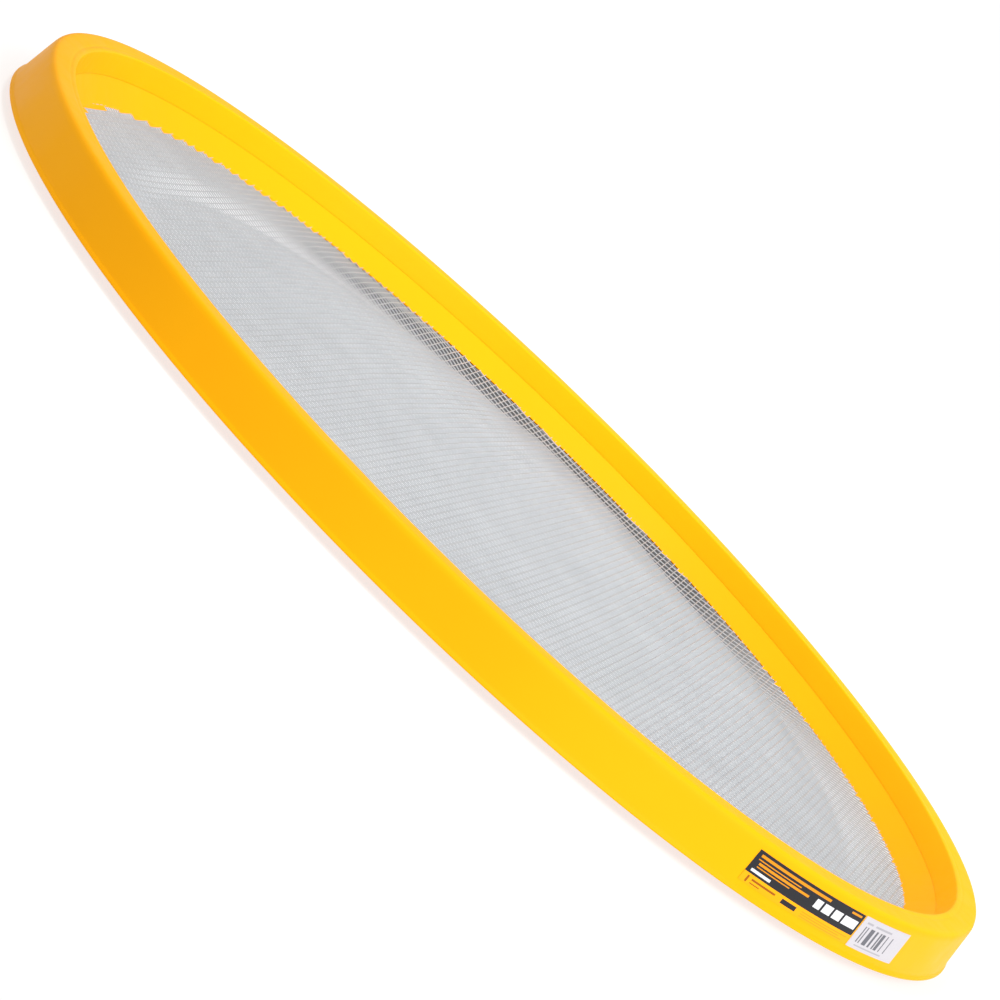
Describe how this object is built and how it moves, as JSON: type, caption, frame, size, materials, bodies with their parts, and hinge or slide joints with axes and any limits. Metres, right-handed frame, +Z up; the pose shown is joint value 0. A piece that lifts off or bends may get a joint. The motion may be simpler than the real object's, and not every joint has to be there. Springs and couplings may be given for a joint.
{
  "type": "round hand sieve",
  "caption": "Round plastic hoop that holds a dished woven-wire mesh under a clamp ring, for sifting sand by hand.",
  "frame": {"origin": "on the hoop's axis, at the level of the dished mesh's flat underside, which the sieve rests on", "axes": "+Z up, out of the sieve's open side and along the hoop's axis; the stickers are on the wall between +X and -Y"},
  "size_m": [0.55, 0.55, 0.027],
  "materials": {
    "hoop_plastic": "satin-gloss moulded yellow plastic",
    "clamp_plastic": "satin moulded yellow plastic",
    "wire": "pale galvanised steel wire",
    "label": "printed film, dark grey panel over a yellow-orange strip",
    "sticker": "white paper sticker with grey bars"
  },
  "bodies": {
    "root": {"hoop": "hoop_plastic", "clamp_ring": "clamp_plastic", "wire_mesh": "wire", "product_label": "label", "barcode_sticker": "sticker"}
  },
  "joints": []
}
